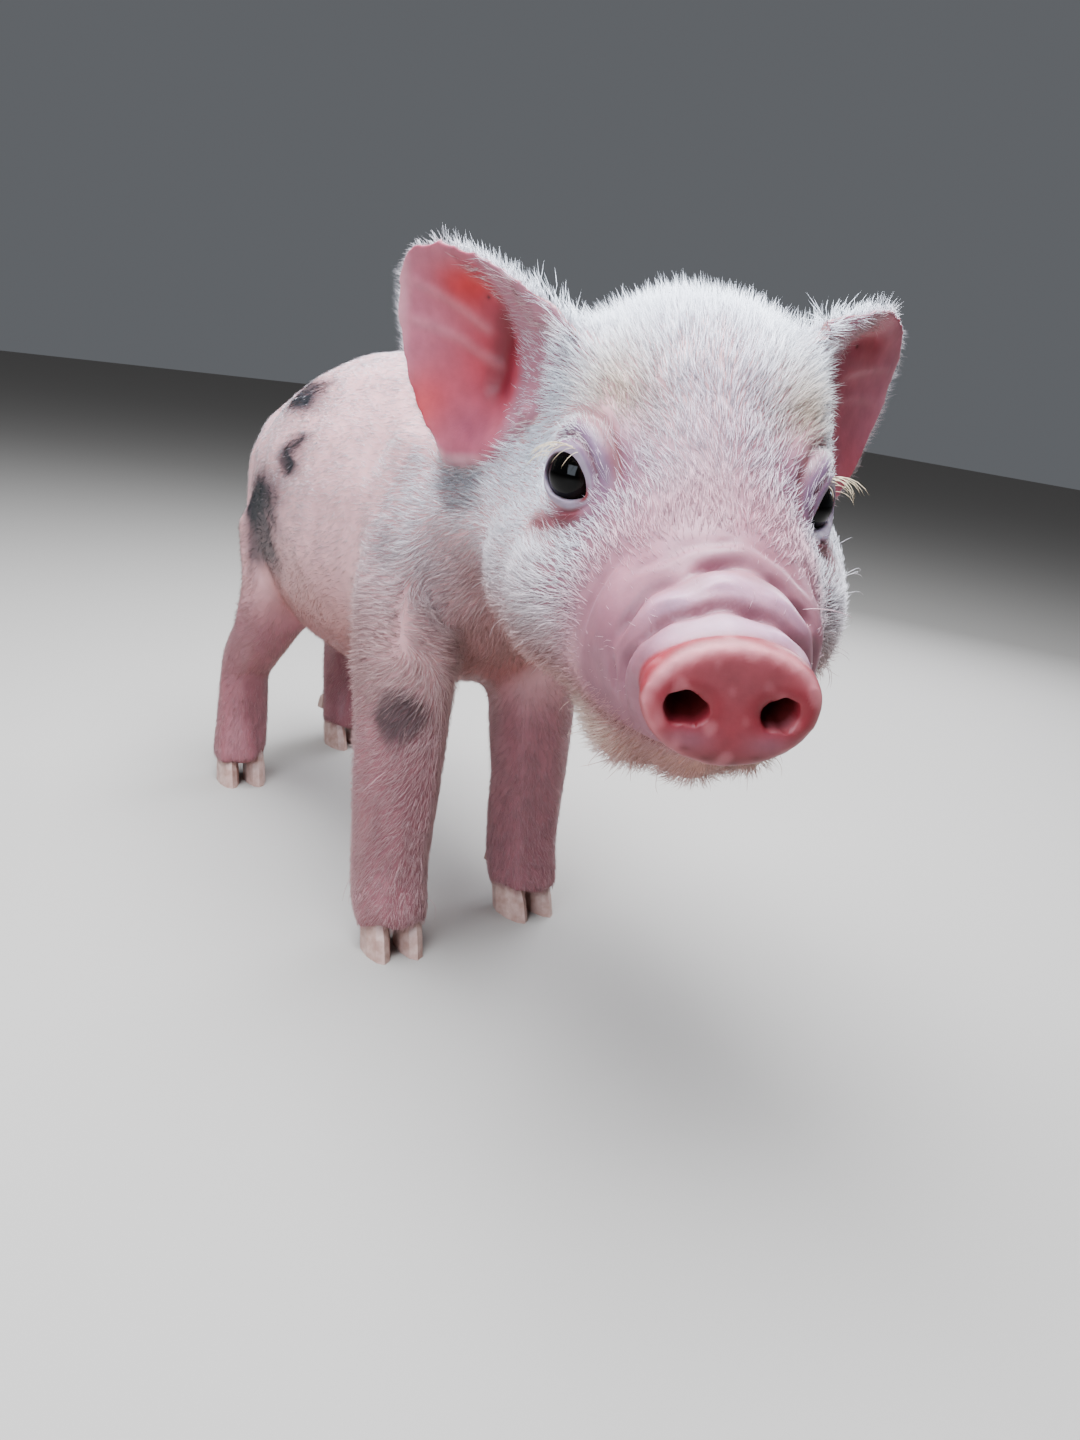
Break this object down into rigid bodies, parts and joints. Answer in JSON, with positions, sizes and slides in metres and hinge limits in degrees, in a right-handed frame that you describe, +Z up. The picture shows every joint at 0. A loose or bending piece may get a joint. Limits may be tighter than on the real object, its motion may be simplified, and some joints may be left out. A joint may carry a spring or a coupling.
{
  "type": "piglet",
  "caption": "Still, life-size model of a young white piglet, standing on four feet with its head turned to its right and its ears up.",
  "frame": {"origin": "on the floor, at the middle of the box round the whole animal", "axes": "+X along the body from the tail to the head, +Y to the animal's left, +Z up"},
  "size_m": [0.2782, 0.1098, 0.1721],
  "materials": {
    "skin": "matte, pale pink under short white hair",
    "ear_skin": "matte, pink",
    "leg_skin": "matte, mauve pink",
    "snout_skin": "satin, bare pink",
    "disc_skin": "satin, bare coral pink",
    "eyeball": "wet gloss, near black",
    "horn": "satin, pale horn"
  },
  "bodies": {
    "root": {"head": "skin", "snout": "snout_skin", "snout_disc": "disc_skin", "lower_jaw": "skin", "neck": "skin", "trunk": "skin", "tail": "skin", "ear_left": "ear_skin", "ear_right": "ear_skin", "eye_left": "eyeball", "eye_right": "eyeball", "foreleg_right": "leg_skin", "foreleg_left": "leg_skin", "hindleg_right": "leg_skin", "hindleg_left": "leg_skin", "hoof_foreleg_right_left": "horn", "dewclaw_foreleg_right_left": "horn", "hoof_foreleg_right_right": "horn", "dewclaw_foreleg_right_right": "horn", "hoof_foreleg_left_left": "horn", "dewclaw_foreleg_left_left": "horn", "hoof_foreleg_left_right": "horn", "dewclaw_foreleg_left_right": "horn", "hoof_hindleg_right_left": "horn", "dewclaw_hindleg_right_left": "horn", "hoof_hindleg_right_right": "horn", "dewclaw_hindleg_right_right": "horn", "hoof_hindleg_left_left": "horn", "dewclaw_hindleg_left_left": "horn", "hoof_hindleg_left_right": "horn", "dewclaw_hindleg_left_right": "horn"}
  },
  "joints": []
}
